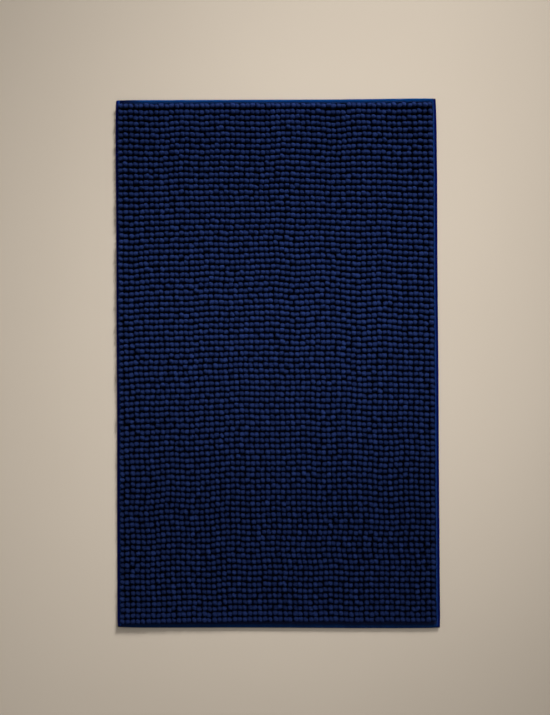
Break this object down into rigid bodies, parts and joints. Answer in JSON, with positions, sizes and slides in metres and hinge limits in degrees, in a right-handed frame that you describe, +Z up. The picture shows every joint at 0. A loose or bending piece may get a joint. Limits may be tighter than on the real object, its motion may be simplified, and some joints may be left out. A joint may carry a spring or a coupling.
{
  "type": "bath mat",
  "caption": "Rectangular navy bobble bath mat: rows of looped chenille on a woven base, with a grip coating underneath and a tape bound round its edges.",
  "frame": {"origin": "middle of the underside, on the surface that the mat lies on", "axes": "+X across the mat, along the rows of loops; +Y along its length; +Z up, out of the pile"},
  "size_m": [0.604, 0.992, 0.0138],
  "materials": {
    "chenille": "matte",
    "base_cloth": "matte",
    "grip_coating": "matte",
    "binding_tape": "matte",
    "seam_thread": "satin",
    "label_satin": "satin"
  },
  "bodies": {
    "root": {"chenille_rows_01": "chenille", "chenille_rows_02": "chenille", "chenille_rows_03": "chenille", "chenille_rows_04": "chenille", "chenille_rows_05": "chenille", "chenille_rows_06": "chenille", "chenille_rows_07": "chenille", "chenille_rows_08": "chenille", "chenille_rows_09": "chenille", "chenille_rows_10": "chenille", "chenille_rows_11": "chenille", "chenille_rows_12": "chenille", "chenille_rows_13": "chenille", "chenille_rows_14": "chenille", "chenille_rows_15": "chenille", "chenille_rows_16": "chenille", "chenille_rows_17": "chenille", "chenille_rows_18": "chenille", "chenille_rows_19": "chenille", "chenille_rows_20": "chenille", "chenille_rows_21": "chenille", "chenille_rows_22": "chenille", "chenille_rows_23": "chenille", "chenille_rows_24": "chenille", "chenille_rows_25": "chenille", "chenille_rows_26": "chenille", "chenille_rows_27": "chenille", "chenille_rows_28": "chenille", "chenille_rows_29": "chenille", "chenille_rows_30": "chenille", "chenille_rows_31": "chenille", "chenille_rows_32": "chenille", "chenille_rows_33": "chenille", "chenille_rows_34": "chenille", "chenille_rows_35": "chenille", "chenille_rows_36": "chenille", "chenille_rows_37": "chenille", "chenille_rows_38": "chenille", "chenille_rows_39": "chenille", "chenille_rows_40": "chenille", "chenille_rows_41": "chenille", "chenille_rows_42": "chenille", "chenille_rows_43": "chenille", "chenille_rows_44": "chenille", "chenille_rows_45": "chenille", "base_cloth": "base_cloth", "grip_coating": "grip_coating", "binding_left": "binding_tape", "binding_right": "binding_tape", "binding_top": "binding_tape", "binding_bottom": "binding_tape", "seam_left": "seam_thread", "seam_right": "seam_thread", "seam_top": "seam_thread", "seam_bottom": "seam_thread", "care_label": "label_satin"}
  },
  "joints": []
}
